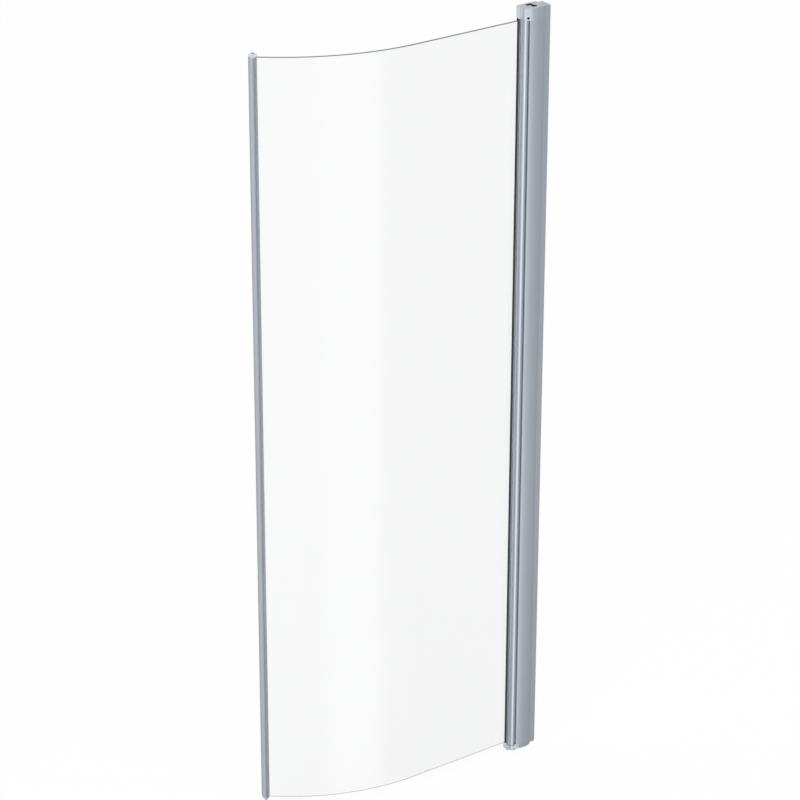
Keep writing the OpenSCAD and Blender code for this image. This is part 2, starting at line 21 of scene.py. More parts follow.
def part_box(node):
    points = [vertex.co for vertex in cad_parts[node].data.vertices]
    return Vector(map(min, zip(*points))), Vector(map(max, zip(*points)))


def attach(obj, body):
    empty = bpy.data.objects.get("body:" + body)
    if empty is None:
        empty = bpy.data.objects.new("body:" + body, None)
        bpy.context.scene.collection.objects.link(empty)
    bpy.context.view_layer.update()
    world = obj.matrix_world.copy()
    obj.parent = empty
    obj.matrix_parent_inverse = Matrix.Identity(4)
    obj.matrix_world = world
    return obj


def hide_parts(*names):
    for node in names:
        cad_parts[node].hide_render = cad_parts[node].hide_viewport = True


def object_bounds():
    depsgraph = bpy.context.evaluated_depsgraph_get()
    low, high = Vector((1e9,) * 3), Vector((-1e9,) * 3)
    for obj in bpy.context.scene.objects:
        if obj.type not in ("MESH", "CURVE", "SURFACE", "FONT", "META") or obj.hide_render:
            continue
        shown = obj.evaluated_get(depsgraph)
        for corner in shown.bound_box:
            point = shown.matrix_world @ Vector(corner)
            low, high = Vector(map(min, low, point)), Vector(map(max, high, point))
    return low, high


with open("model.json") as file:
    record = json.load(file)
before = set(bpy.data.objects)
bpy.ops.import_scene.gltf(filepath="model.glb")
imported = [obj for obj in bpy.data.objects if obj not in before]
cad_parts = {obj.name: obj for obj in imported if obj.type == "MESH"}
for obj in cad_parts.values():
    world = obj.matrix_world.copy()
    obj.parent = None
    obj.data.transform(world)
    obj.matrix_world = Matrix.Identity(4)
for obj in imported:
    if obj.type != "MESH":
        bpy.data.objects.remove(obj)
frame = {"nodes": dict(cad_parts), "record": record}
packed_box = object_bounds()
MM = 0.001


def box_mm(node):
    """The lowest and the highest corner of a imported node."""
    return [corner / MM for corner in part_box(node)]


print("packed nodes:", len(frame["nodes"]))

# %% [markdown]
# ## The camera
#
# The photographer stood to the front left of the door, well above it, and used a long lens, so that
# upright edges run almost parallel. A camera looks along its own -Z axis, so the third column of its
# rotation is the opposite of the viewing direction.

# %% Camera
def link_object(name, data):
    """A new object in the scene, for a mesh, a curve, a lamp or a camera."""
    made = bpy.data.objects.new(name, data)
    bpy.context.scene.collection.objects.link(made)
    return made


camera_place = Vector((-4361.2, -5531.9, 3237.5)) * MM
heading = radians(35.555)
tilt_down = radians(24.898)
lean = radians(0.129)

forward = Vector((sin(heading) * cos(tilt_down), cos(heading) * cos(tilt_down), -sin(tilt_down)))
level_right = Vector((cos(heading), -sin(heading), 0))
level_up = level_right.cross(forward)
right = cos(lean) * level_right + sin(lean) * level_up
up = cos(lean) * level_up - sin(lean) * level_right

camera_data = bpy.data.cameras.new("camera")
camera_data.sensor_width = 36
camera_data.lens = 145.085
camera_data.clip_end = 100
camera = link_object("camera", camera_data)
turn = Matrix((right, up, -forward)).transposed()
camera.matrix_world = Matrix.Translation(camera_place) @ turn.to_4x4()
bpy.context.scene.camera = camera
print("camera", [round(value, 3) for value in camera.location], "lens", camera_data.lens)

# %% [markdown]
# ## Node trees in a few words
#
# Materials, the world and Geometry Nodes are all trees of nodes. A helper makes a node, sets its values
# and draws its links in one go. A value that is a socket, or a node with its first output, becomes a
# link. Any other value is written in.

# %% Helpers for node trees
def add_node(tree, kind, values=(), **settings):
    """A new node with its settings made, and its inputs filled or linked by name or number."""
    node = tree.nodes.new(kind)
    for setting, value in settings.items():
        setattr(node, setting, value)
    for socket, value in dict(values).items():
        if isinstance(value, bpy.types.Node):
            value = value.outputs[0]
        if isinstance(value, bpy.types.NodeSocket):
            tree.links.new(value, node.inputs[socket])
        else:
            node.inputs[socket].default_value = value
    return node


def calculate(tree, operation, first, second=0.0, third=0.0):
    """The result of a Math node."""
    node = add_node(tree, "ShaderNodeMath", {0: first, 1: second, 2: third}, operation=operation)
    return node.outputs[0]


def vector_math(tree, operation, first, second=(0, 0, 0), result="Vector"):
    """The result of a Vector Math node."""
    node = add_node(tree, "ShaderNodeVectorMath", {0: first, 1: second}, operation=operation)
    return node.outputs[result]


def follow(tree, value, given, wanted, shape="LINEAR"):
    """A number that goes from one wanted end to the other, as a value does between two given ones."""
    values = dict(enumerate((value, *given, *wanted)))
    return add_node(tree, "ShaderNodeMapRange", values, interpolation_type=shape).outputs[0]


# %% [markdown]
# ## A finish
#
# Every finish starts from one Principled shader, whose constants are set on its own sockets.
# Patterns come from Object coordinates, which count metres from the door's own origin, so that a
# pattern stays in place on its piece. Clouds of two near shades keep a colour from looking painted
# on, and a finer grain shows in the relief and in the roughness.

# %% Helpers for finishes
def new_finish(name, colour, roughness, metallic=0.0, values=()):
    """A material with one Principled shader. Returns the material, its tree and the shader."""
    material = bpy.data.materials.new(name)
    material.use_nodes = True
    tree = material.node_tree
    shader = tree.nodes["Principled BSDF"]
    shader.inputs["Base Color"].default_value = (*colour, 1)
    shader.inputs["Roughness"].default_value = roughness
    shader.inputs["Metallic"].default_value = metallic
    for socket, value in dict(values).items():
        shader.inputs[socket].default_value = value
    return material, tree, shader


def object_place(tree):
    """The place on the door, counted from its own origin."""
    return add_node(tree, "ShaderNodeTexCoord").outputs["Object"]


def pattern(tree, grains_per_metre, detail=2.0):
    """A soft noise between 0 and 1, with its own number of grains along x, y and z."""
    stretched = {"Vector": object_place(tree), "Scale": grains_per_metre}
    place = add_node(tree, "ShaderNodeMapping", stretched)
    noise = add_node(tree, "ShaderNodeTexNoise", {"Vector": place, "Scale": 1.0, "Detail": detail})
    return noise.outputs["Fac"]


def shade_between(tree, shader, factor, first, second):
    """The base colour goes from the first to the second, as a pattern or mask goes from 0 to 1."""
    if not isinstance(first, bpy.types.NodeSocket):
        first = (*first, 1)
    shades = {"Factor": factor, 6: first, 7: (*second, 1)}
    mix = add_node(tree, "ShaderNodeMix", shades, data_type="RGBA")
    tree.links.new(mix.outputs[2], shader.inputs["Base Color"])
    return mix.outputs[2]


def raise_surface(tree, shader, height, depth_mm, strength):
    """The pattern stands out from the surface by a depth in millimetres."""
    bump = add_node(tree, "ShaderNodeBump",
                    {"Height": height, "Distance": depth_mm * MM, "Strength": strength})
    tree.links.new(bump.outputs[0], shader.inputs["Normal"])


def grained_finish(name, colour, roughness, clouds, shades, grain, relief, spread=(), **others):
    """Clouds of two shades of a colour, and a finer grain in the relief and the roughness."""
    material, tree, shader = new_finish(name, colour, roughness, **others)
    darker, lighter = ([shade * part for part in colour] for shade in shades)
    shade_between(tree, shader, pattern(tree, *clouds), darker, lighter)
    grain = pattern(tree, *grain)
    if spread:
        ends = (roughness - spread[0], roughness + spread[1])
        tree.links.new(follow(tree, grain, (0.3, 0.7), ends), shader.inputs["Roughness"])
    raise_surface(tree, shader, grain, *relief)
    return material


# %% [markdown]
# ### Satin anodised aluminium
#
# The post, the channel, the bead and the grip are extruded: hot aluminium is pressed through a die,
# which leaves very fine lines along the whole length. Etching and anodising then turn the metal
# satin. The lines are a noise that is stretched three hundred times along z.

# %% Aluminium finishes
drawn = {
    "clouds": ((9, 9, 2), 1), "shades": (0.955, 1.04), "grain": ((1800, 1800, 6), 3),
    "spread": (0.04, 0.05), "relief": (0.006, 0.5)}
satin_aluminium = grained_finish("satin aluminium", (0.41, 0.449, 0.498), 0.40, metallic=0.6, **drawn)
bead_aluminium = grained_finish("bead aluminium", (0.44, 0.48, 0.535), 0.22, metallic=1.0, **drawn)
grip_aluminium = grained_finish("grip aluminium", (0.385, 0.423, 0.472), 0.34, metallic=0.85, **drawn)
print("aluminium finishes made")

# %% [markdown]
# ### Lacquered castings
#
# The post's two caps are cast and sprayed silver, to match the extrusions beside them. They have no
# drawn lines. Their lacquer shows a faint orange peel instead.

# %% Lacquer
silver_lacquer, tree, shader = new_finish("silver lacquer", (0.46, 0.505, 0.56), 0.25, metallic=0.75)
lacquer = shade_between(tree, shader, pattern(tree, (60, 60, 60)),
                        (0.45, 0.492, 0.547), (0.475, 0.52, 0.573))
raise_surface(tree, shader, pattern(tree, (900, 900, 900)), 0.01, 0.35)
print("lacquer made")

# %% [markdown]
# The hollows of the top cap, the recess of its insert, the well of the front screw and the hole of the
# grub screw, get painted shade: masks in Object coordinates paint their walls almost black.

# %% Painted shade in the hollows
def below(tree, head):
    """1 below a level, 0 above it."""
    height = add_node(tree, "ShaderNodeSeparateXYZ", {0: object_place(tree)}).outputs["Z"]
    return calculate(tree, "LESS_THAN", height, head * MM)


def inside_box(tree, low, high):
    """1 inside a box, 0 outside."""
    middle = [(low[k] + high[k]) / 2 * MM for k in range(3)]
    off_middle = vector_math(tree, "SUBTRACT", object_place(tree), middle)
    off_middle = vector_math(tree, "ABSOLUTE", off_middle)
    axes, inside = add_node(tree, "ShaderNodeSeparateXYZ", {0: off_middle}).outputs, 1.0
    for k in range(3):
        within = calculate(tree, "LESS_THAN", axes[k], (high[k] - low[k]) / 2 * MM)
        inside = calculate(tree, "MULTIPLY", inside, within)
    return inside


def inside_rod(tree, centre, radius, head):
    """1 inside an upright rod that ends at a level, 0 outside."""
    place = vector_math(tree, "MULTIPLY", object_place(tree), (1, 1, 0))
    off_axis = vector_math(tree, "DISTANCE", place, (centre[0] * MM, centre[1] * MM, 0), "Value")
    near = calculate(tree, "LESS_THAN", off_axis, radius * MM)
    return calculate(tree, "MULTIPLY", near, below(tree, head))


front_port, back_port = (-40.2, -5.4), (-42.0, 7.6)
cap_head = box_mm("top_cap")[1].z
grub_low, grub_high = box_mm("pin_grub_screw")
grub_height = (grub_low.z + grub_high.z) / 2
recess = inside_box(tree, (-53.2, 1.6, cap_head - 5.7), (-35.3, 13.0, cap_head - 0.7))
well = inside_rod(tree, front_port, 6.8, cap_head - 0.6)
grub_hole = inside_box(tree, (-65.8, -14.2, grub_height - 3.4), (-59.5, -3.0, grub_height + 3.4))
# Painted shade: the walls of these hollows are painted almost black, for the shadow deep inside them.
painted_hollow_shade = calculate(tree, "MAXIMUM", calculate(tree, "MAXIMUM", recess, well), grub_hole)
shade_between(tree, shader, painted_hollow_shade, lacquer, (0.016, 0.018, 0.020))
print("cap head at", round(cap_head, 2), "grub hole at", round(grub_height, 2))

# %% [markdown]
# ### Plastics and soft seals
#
# The end caps are moulded plastic with a fine matt grain. The seals are extruded soft plastic, with
# softer lines along z. The bushes are natural white bearing plastic, which looks a little waxy. The
# grip's top cap gets painted light and shade: its top face is light, its sides are painted darker.

# %% Plastic and rubber finishes
moulded = {
    "clouds": ((40, 40, 40),), "shades": (0.97, 1.0), "grain": ((2600, 2600, 2600), 1),
    "relief": (0.008, 0.4)}
pressed_soft = {
    "clouds": ((30, 30, 3),), "shades": (0.9, 1.0), "grain": ((1500, 1500, 12),),
    "spread": (0.05, 0.08), "relief": (0.01, 0.4)}
cap_plastic_lit_and_shaded = grained_finish("cap plastic, painted lit top and shaded sides", (0.67, 0.69, 0.71), 0.42, **moulded)
tree = cap_plastic_lit_and_shaded.node_tree
shader = tree.nodes["Principled BSDF"]
painted_lit_top = shader.inputs["Base Color"].links[0].from_socket
# Painted light and shade: the top face keeps the light colour, and the sides below it are painted
# darker, as light falls from above.
painted_shaded_sides = below(tree, box_mm("grip_top_cap")[1].z - 0.5)
shade_between(tree, shader, painted_shaded_sides, painted_lit_top, (0.42, 0.455, 0.50))
gloss_insert = grained_finish("light grey insert", (0.64, 0.66, 0.68), 0.25, **moulded)
silver_plastic = grained_finish("silver grey plastic", (0.40, 0.43, 0.47), 0.38, **moulded)
bearing_plastic = grained_finish("bearing plastic", (0.80, 0.80, 0.77), 0.5, **moulded)
black_seal = grained_finish(
    "black seal", (0.070, 0.075, 0.083), 0.46, values={"Specular IOR Level": 0.3}, **pressed_soft)
grey_seal = grained_finish("grey seal", (0.36, 0.38, 0.41), 0.40, **pressed_soft)
clear_seal = grained_finish("milky seal", (0.50, 0.53, 0.55), 0.35, **pressed_soft)
magnet_rubber = grained_finish("magnet rubber", (0.035, 0.035, 0.037), 0.6, **pressed_soft)
print("plastics and seals made")

# %% [markdown]
# ### Steel
#
# The pins, screws and nuts are stainless steel, with a fine grain from turning. The grub screw and
# the grip's screws are blackened.

# %% Steel finishes
turned = {
    "clouds": ((200, 200, 200),), "shades": (0.93, 1.0), "grain": ((3000, 3000, 700), 2),
    "spread": (0.06, 0.08), "relief": (0.004, 0.4), "metallic": 1.0}
bright_steel = grained_finish("bright steel", (0.56, 0.57, 0.58), 0.24, **turned)
black_steel = grained_finish("blackened steel", (0.045, 0.047, 0.052), 0.38, **turned)
print("steel finishes made")

# %% [markdown]
# ### Clear glass
#
# Glass looks clear through its faces but green-grey through its edges, because light goes a long way
# inside the sheet before it leaves there. A Volume Absorption node gives a colour that deepens with
# this way. A very weak, long wave stands for the slight unevenness of bent glass. The top edge is
# ground, so that it scatters the light and looks dark beside the clear faces.

# %% Glass
clear_glass, tree, shader = new_finish(
    "clear glass", (0.958, 0.961, 0.959), 0.0,
    values={"Transmission Weight": 1.0, "IOR": 1.52, "Specular IOR Level": 0.5})
raise_surface(tree, shader, pattern(tree, (5, 5, 3), detail=0), 0.05, 0.12)
depth = add_node(tree, "ShaderNodeVolumeAbsorption", {"Color": (0.82, 0.90, 0.885, 1), "Density": 9.0})
tree.links.new(depth.outputs[0], tree.nodes["Material Output"].inputs["Volume"])
ground_edge, tree, shader = new_finish(
    "ground glass edge", (0.15, 0.18, 0.175), 0.35, values={"Transmission Weight": 0.15, "IOR": 1.52})
shade_between(tree, shader, pattern(tree, (700, 700, 700)), (0.135, 0.165, 0.16), (0.165, 0.195, 0.19))
print("materials:", len(bpy.data.materials))

# %% [markdown]
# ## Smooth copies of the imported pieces
#
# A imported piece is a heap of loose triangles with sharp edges. Nothing real has perfectly sharp
# edges: a casting is round from its mould, and a sawn profile is deburred. So a copy of the piece is
# merged, its flat faces are joined again, and a Bevel modifier rounds its edges. Weighted normals
# then keep the large faces flat in the shading, and edges above 50 degrees stay sharp. The copy
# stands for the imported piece, which stays hidden.

# %% Finishing a piece
record = frame["record"]
body_of = {node: body for body, nodes in record["behaviour"]["bodies"].items() for node in nodes}


def settle(piece, node, material):
    """The piece gets its finish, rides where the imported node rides, and stands for it."""
    piece.data.materials.clear()
    piece.data.materials.append(material)
    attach(piece, body_of[node])
    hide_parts(node)
    print(piece.name, "stands for", node, "with", len(piece.data.polygons), "faces")


def plain_mesh(piece):
    """What an object's modifiers make of it, as a new mesh."""
    evaluated = piece.evaluated_get(bpy.context.evaluated_depsgraph_get())
    return bpy.data.meshes.new_from_object(evaluated)


def apply_modifiers(piece):
    """The piece as a plain mesh, with its modifiers worked into it."""
    mesh = plain_mesh(piece)
    piece.modifiers.clear()
    piece.data = mesh


def round_edges(piece, width_mm, sharpest, steps):
    """The edges that are sharper than an angle get a small round or a facet."""
    bevel = piece.modifiers.new("rounded edges", "BEVEL")
    bevel.width = width_mm * MM
    bevel.segments = steps
    bevel.limit_method = "ANGLE"
    bevel.angle_limit = radians(sharpest)
    return bevel


def mend_mesh(mesh, weld_mm, packed=False):
    """Merge points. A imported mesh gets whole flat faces, another one's faces are turned outwards."""
    work = bmesh.new()
    work.from_mesh(mesh)
    bmesh.ops.remove_doubles(work, verts=work.verts, dist=weld_mm * MM)
    if packed:
        bmesh.ops.dissolve_limit(work, angle_limit=radians(0.5), verts=work.verts, edges=work.edges)
    else:
        bmesh.ops.recalc_face_normals(work, faces=work.faces)
    work.to_mesh(mesh)
    work.free()


def rounded_copy(node, material, edge_mm, weld_mm):
    """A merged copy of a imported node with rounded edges, which stands for it."""
    mesh = frame["nodes"][node].data.copy()
    mend_mesh(mesh, weld_mm, packed=True)
    piece = link_object(node + "_smooth", mesh)
    round_edges(piece, edge_mm, sharpest=32, steps=2)
    apply_modifiers(piece)
    piece.data.shade_smooth()
    piece.data.set_sharp_from_angle(angle=radians(50))
    weigh = piece.modifiers.new("weighted normals", "WEIGHTED_NORMAL")
    weigh.keep_sharp = True
    weigh.weight = 90
    apply_modifiers(piece)
    settle(piece, node, material)


# %% [markdown]
# ## The glass
#
# The sheet starts flat and is bent in a furnace: straight beside the hinge, then round a large
# radius, then straight again into the grip. A flat plate in Geometry Nodes is bent by the same rule.
# Since the rule's sizes are named inputs, the same tree would bend any sheet.

# %% Helpers for Geometry Nodes
def geometry_tree(name, given, sizes=()):
    """A tree with named inputs, numbers among them, and one output. Returns it with its inputs."""
    tree = bpy.data.node_groups.new(name, "GeometryNodeTree")
    for title, kind in {**given, **dict.fromkeys(sizes, "Float"), "Finish": "Material"}.items():
        tree.interface.new_socket(name=title, in_out="INPUT", socket_type="NodeSocket" + kind)
    tree.interface.new_socket(name="Piece", in_out="OUTPUT", socket_type="NodeSocketGeometry")
    return tree, add_node(tree, "NodeGroupInput").outputs


def put_out(tree, result, finish):
    """The end of a tree: copies become real geometry, which gets its finish."""
    real = add_node(tree, "GeometryNodeRealizeInstances", {0: result})
    done = add_node(tree, "GeometryNodeSetMaterial", {"Geometry": real, "Material": finish})
    add_node(tree, "NodeGroupOutput", {0: done})
    return tree


def grow(name, tree, inputs, start=None):
    """The plain mesh object that a tree makes from its named inputs and a start object."""
    start = start or link_object(name + "_start", bpy.data.meshes.new(name))
    modifier = start.modifiers.new(name, "NODES")
    modifier.node_group = tree
    for item in tree.interface.items_tree:
        if item.name in inputs:
            modifier[item.identifier] = inputs[item.name]
    mesh = plain_mesh(start)
    bpy.data.objects.remove(start)
    return link_object(name, mesh)


# %% [markdown]
# The tree finds, for each point of the plate, its distance along the sheet, then how much of that
# lies in each of the three stretches, and last the place at which that puts the point.

# %% A tree that bends a plate
def bent_sheet_tree():
    """Geometry Nodes that make a bent sheet of glass from its sizes."""
    tree, size = geometry_tree("bent sheet", {}, (
        "Height", "Foot", "Thickness", "Hinge Edge", "Middle Plane", "Hinge Flat", "Bend Radius",
        "Bend Angle", "Grip Flat"))
    reckon = partial(calculate, tree)
    arc_length = reckon("MULTIPLY", size["Bend Radius"], size["Bend Angle"])
    to_bend_end = reckon("ADD", size["Hinge Flat"], arc_length)
    length = reckon("ADD", to_bend_end, size["Grip Flat"])
    plate_size = add_node(tree, "ShaderNodeCombineXYZ",
                          {0: length, 1: size["Thickness"], 2: size["Height"]})
    plate = add_node(tree, "GeometryNodeMeshCube", {"Size": plate_size, "Vertices X": 180})
    position = add_node(tree, "GeometryNodeInputPosition")
    place = add_node(tree, "ShaderNodeSeparateXYZ", {0: position}).outputs
    along = reckon("ADD", place["X"], reckon("DIVIDE", length, 2.0))
    across = place["Y"]

    straight = reckon("MINIMUM", along, size["Hinge Flat"])
    past_straight = reckon("MAXIMUM", reckon("SUBTRACT", along, size["Hinge Flat"]), 0.0)
    in_bend = reckon("MINIMUM", past_straight, arc_length)
    past_bend = reckon("MAXIMUM", reckon("SUBTRACT", along, to_bend_end), 0.0)
    turned = reckon("DIVIDE", in_bend, size["Bend Radius"])
    sine = reckon("SINE", turned)
    cosine = reckon("COSINE", turned)

    reach = reckon("MULTIPLY_ADD", size["Bend Radius"], sine, straight)
    reach = reckon("MULTIPLY_ADD", past_bend, cosine, reach)
    reach = reckon("MULTIPLY_ADD", across, sine, reach)
    x = reckon("SUBTRACT", size["Hinge Edge"], reach)
    sag = reckon("MULTIPLY", size["Bend Radius"], reckon("SUBTRACT", 1.0, cosine))
    sag = reckon("MULTIPLY_ADD", past_bend, sine, sag)
    offset = reckon("MULTIPLY", across, cosine)
    y = reckon("ADD", size["Middle Plane"], reckon("SUBTRACT", sag, offset))
    half_height = reckon("DIVIDE", size["Height"], 2.0)
    z = reckon("ADD", place["Z"], reckon("ADD", half_height, size["Foot"]))
    bent_place = add_node(tree, "ShaderNodeCombineXYZ", {0: x, 1: y, 2: z})
    bent = add_node(tree, "GeometryNodeSetPosition", {"Geometry": plate, "Position": bent_place})
    return put_out(tree, bent, size["Finish"])


# %% [markdown]
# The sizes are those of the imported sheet, so that the new one lies exactly in its place.

# %% Make the glass
glass_y, glass_thickness = 13.6, 6.0
bend_start, bend_radius, bend_angle = -353.0, 515.0, radians(37.4)
grip_flat, glass_past = 47.0, 1.0
glass_low, glass_high = box_mm("glass_panel")
lengths = {
    "Height": glass_high.z - glass_low.z, "Foot": glass_low.z, "Thickness": glass_thickness,
    "Hinge Edge": glass_high.x, "Middle Plane": glass_y, "Hinge Flat": glass_high.x - bend_start,
    "Bend Radius": bend_radius, "Grip Flat": grip_flat + glass_past}
glass_inputs = {title: length * MM for title, length in lengths.items()}
glass = grow("glass_sheet", bent_sheet_tree(),
             {**glass_inputs, "Bend Angle": bend_angle, "Finish": clear_glass})
print("glass", round(lengths["Height"]), "mm high, faces", len(glass.data.polygons))

# %% [markdown]
# Safety glass has a small bevel on its edges, so that nobody is cut. A Bevel modifier grinds it, once
# the plate's points are merged, because it needs a closed surface.

# %% Grind the edges of the glass
tiny = 0.001
mend_mesh(glass.data, tiny)
glass.data.shade_smooth()
round_edges(glass, 0.7, sharpest=40, steps=1).harden_normals = True
apply_modifiers(glass)
settle(glass, "glass_panel", clear_glass)
glass.data.materials.append(ground_edge)
top_faces = [face for face in glass.data.polygons if face.normal.z > 0.5]
for face in top_faces:
    face.material_index = 1
print("ground faces at the top:", len(top_faces))

# %% [markdown]
# ## Profiles from a die
#
# An extruded profile is a flat outline that is drawn out straight, so the outline is written down as
# lines and true arcs, seen from above. Small arcs round the corners, because a die can't press a
# knife edge.

# %% Helpers for outlines
def turns_between(start, end, step):
    """Directions from one to another, given in degrees, no further apart than a step."""
    count = max(2, ceil(abs(end - start) / step) + 1)
    return [radians(start + (end - start) * i / (count - 1)) for i in range(count)]


def arc(centre, radius, start, end, step=4.0):
    """Points on an arc from one direction to another, in degrees."""
    turns = turns_between(start, end, step)
    return [(centre[0] + radius * cos(t), centre[1] + radius * sin(t)) for t in turns]


def half_chord(radius, distance):
    """Half the chord that a line cuts from a circle, at a distance from its centre."""
    return sqrt(radius * radius - distance * distance)


def direction(centre, point):
    """The direction from a centre to a point, in degrees."""
    return degrees(atan2(point[1] - centre[1], point[0] - centre[0]))


def mirrored(half, middle=0.0):
    """A closed outline from one half of it, mirrored in a level line."""
    return [(x, middle + y) for x, y in half] + [(x, middle - y) for x, y in reversed(half)]


def soften(points, radius, sharpest=30.0, steps=3):
    """The same outline with its corners rounded, where it turns by more than the given angle."""
    corners = [Vector(point) for point in points]
    softened = []
    for i, corner in enumerate(corners):
        way_in, way_out = corner - corners[i - 1], corners[(i + 1) % len(corners)] - corner
        if way_in.angle(way_out) < radians(sharpest):
            softened.append(corner)
            continue
        cut = min(radius, 0.45 * way_in.length, 0.45 * way_out.length)
        entry, leave = corner - cut * way_in.normalized(), corner + cut * way_out.normalized()
        for t in (step / steps for step in range(steps + 1)):
            softened.append((1 - t) ** 2 * entry + 2 * t * (1 - t) * corner + t * t * leave)
    return softened


# %% [markdown]
# The tree fills the outlines, with the inner ones as holes, draws the fill out to the length, and
# closes the foot with a turned copy of it. Faces that meet at a small angle are shaded as one.

# %% A tree that presses a profile
def pressed_profile_tree():
    """Geometry Nodes that draw filled outlines out to a length."""
    tree, size = geometry_tree(
        "pressed profile", {"Outlines": "Geometry"}, ("Foot", "Length", "Smooth Below"))
    fill = add_node(tree, "GeometryNodeFillCurve", {"Curve": size["Outlines"]}, mode="TRIANGLES")
    way = add_node(tree, "ShaderNodeCombineXYZ", {2: size["Length"]})
    drawn = add_node(tree, "GeometryNodeExtrudeMesh",
                     {"Mesh": fill, "Offset": way, "Offset Scale": 1.0, "Individual": False})
    turned = add_node(tree, "GeometryNodeFlipFaces", {"Mesh": fill})
    both = add_node(tree, "GeometryNodeJoinGeometry")
    tree.links.new(drawn.outputs["Mesh"], both.inputs[0])
    tree.links.new(turned.outputs[0], both.inputs[0])
    whole = add_node(tree, "GeometryNodeMergeByDistance", {"Geometry": both, "Distance": tiny * MM})
    lift = add_node(tree, "ShaderNodeCombineXYZ", {2: size["Foot"]})
    placed = add_node(tree, "GeometryNodeTransform", {"Geometry": whole, "Translation": lift})
    angle = add_node(tree, "GeometryNodeInputMeshEdgeAngle").outputs["Unsigned Angle"]
    gentle = calculate(tree, "LESS_THAN", angle, size["Smooth Below"])
    smooth = add_node(tree, "GeometryNodeSetShadeSmooth", {"Geometry": placed}, domain="FACE")
    creased = add_node(tree, "GeometryNodeSetShadeSmooth",
                       {"Geometry": smooth, "Shade Smooth": gentle}, domain="EDGE")
    return put_out(tree, creased, size["Finish"])


profile_tree = pressed_profile_tree()


def press(node, outlines, material, corner_mm=0.3):
    """A profile pressed from outlines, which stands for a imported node."""
    foot, head = (corner.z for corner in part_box(node))
    curve = bpy.data.curves.new(node, "CURVE")
    curve.dimensions = "2D"
    for outline in outlines:
        points = soften(outline, corner_mm)
        spline = curve.splines.new("POLY")
        spline.points.add(len(points) - 1)
        spline.use_cyclic_u = True
        for place, (x, y) in zip(spline.points, points):
            place.co = (x * MM, y * MM, 0, 1)
    inputs = {"Foot": foot, "Length": head - foot, "Smooth Below": radians(40), "Finish": material}
    piece = grow(node + "_pressed", profile_tree, inputs, link_object(node + "_outlines", curve))
    mend_mesh(piece.data, tiny)
    settle(piece, node, material)


# %% [markdown]
# ### The post
#
# The post's front bows out gently, and its left side is hollowed round the bead. Inside are a narrow
# chamber beside the socket, and a bay that is open to the right, where the wall channel slides in.
# Two round ports on the web between them take the long screws of the caps.

# %% Post
post_right, post_left = -16.0, -59.0
post_half, bay_half, wall = 17.6, 16.0, 1.6
web_left, web_right = -44.6, -43.0
axis = (-61.0, -2.5)
bead_radius, socket_radius = 11.0, 12.2
bulge = 5.3
chord = (post_right - post_left) / 2
bulge_radius = (chord ** 2 + bulge ** 2) / (2 * bulge)
bulge_centre = ((post_left + post_right) / 2, bulge_radius - post_half - bulge)
port_radius, port_hole = 3.4, 1.5


def on_bulge(x, inset):
    """The point of the bowed front at a given x, moved in by an inset."""
    return (x, bulge_centre[1] - half_chord(bulge_radius - inset, x - bulge_centre[0]))


def bulge_arc(x_from, x_to, inset):
    """The bowed front between two places."""
    ends = [direction(bulge_centre, on_bulge(x, inset)) for x in (x_from, x_to)]
    return arc(bulge_centre, bulge_radius - inset, *ends, step=1.5)


def post_outlines():
    """The post's outline and the outlines of its hollows."""
    mouth = degrees(acos((post_left - axis[0]) / socket_radius))
    outer = [(post_right, post_half), (post_left, post_half)]
    outer += arc(axis, socket_radius, mouth, -mouth)
    outer += bulge_arc(post_left, post_right, 0)
    outer += [(post_right, -bay_half), (post_right - 4, -bay_half)]
    outer += bulge_arc(post_right - 4, web_right, wall)
    for port in (front_port, back_port):
        port_turn = degrees(acos((web_right - port[0]) / port_radius))
        outer += arc(port, port_radius, -port_turn, port_turn, 8)
    outer += [(web_right, bay_half), (post_right, bay_half)]

    inner_left = post_left + wall
    ring = socket_radius + wall
    ring_turn = degrees(acos((inner_left - axis[0]) / ring))
    back_turn = degrees(acos((web_left - back_port[0]) / port_radius))
    chamber = [(inner_left, bay_half), (web_left, bay_half)]
    chamber += arc(back_port, port_radius, back_turn, 360 - back_turn, 8)
    chamber += bulge_arc(web_left, inner_left, wall)
    chamber += arc(axis, ring, -ring_turn, ring_turn)
    holes = [arc(place, port_hole, 0, 348, 12) for place in (front_port, back_port)]
    return [outer, chamber, *holes]


press("hinge_post", post_outlines(), satin_aluminium)

# %% [markdown]
# ### The bead and its jaws
#
# The door turns on a round tube, the bead, which lies in the post's hollow. Two thin jaws grow out of
# it and hold the glass, with a dark gasket between, whose lips show as a dark line along the whole
# height. The jaws end in round noses, as hands touch them, and each shows as a fine bright line.

# %% Bead, gasket and throat seal
jaw_half, jaw_wall = 4.0, 1.6
jaw_back, jaw_left = -62.0, -68.7
neck_left = -66.4
bore_radius = 7.0
glass_half = glass_thickness / 2
jaw_nose = 1.3
lip_tip, lip_thick, lip_thin = -71.9, 3.8, 3.4


def bead_outlines():
    """The bead with its jaws, and its bore."""
    jaw_top = glass_y + jaw_half + jaw_wall
    web_right_side = jaw_back + jaw_wall
    meet_right = (web_right_side, axis[1] + half_chord(bead_radius, web_right_side - axis[0]))
    front_jaw = glass_y - jaw_half - jaw_wall
    meet_left = (neck_left, axis[1] + half_chord(bead_radius, neck_left - axis[0]))
    start, end = direction(axis, meet_right), direction(axis, meet_left) - 360
    outer = arc((jaw_left + jaw_nose, jaw_top - jaw_nose), jaw_nose, 180, 90, 10)
    outer += [(web_right_side, jaw_top)]
    outer += arc(axis, bead_radius, start, end, 5)
    outer += [(neck_left, front_jaw)]
    outer += arc((jaw_left + jaw_nose, front_jaw + jaw_nose), jaw_nose, 270, 180, 10)
    outer += [(jaw_left, glass_y - jaw_half), (jaw_back, glass_y - jaw_half)]
    outer += [(jaw_back, glass_y + jaw_half), (jaw_left, glass_y + jaw_half)]
    return [outer, arc(axis, bore_radius, 0, 352, 8)]


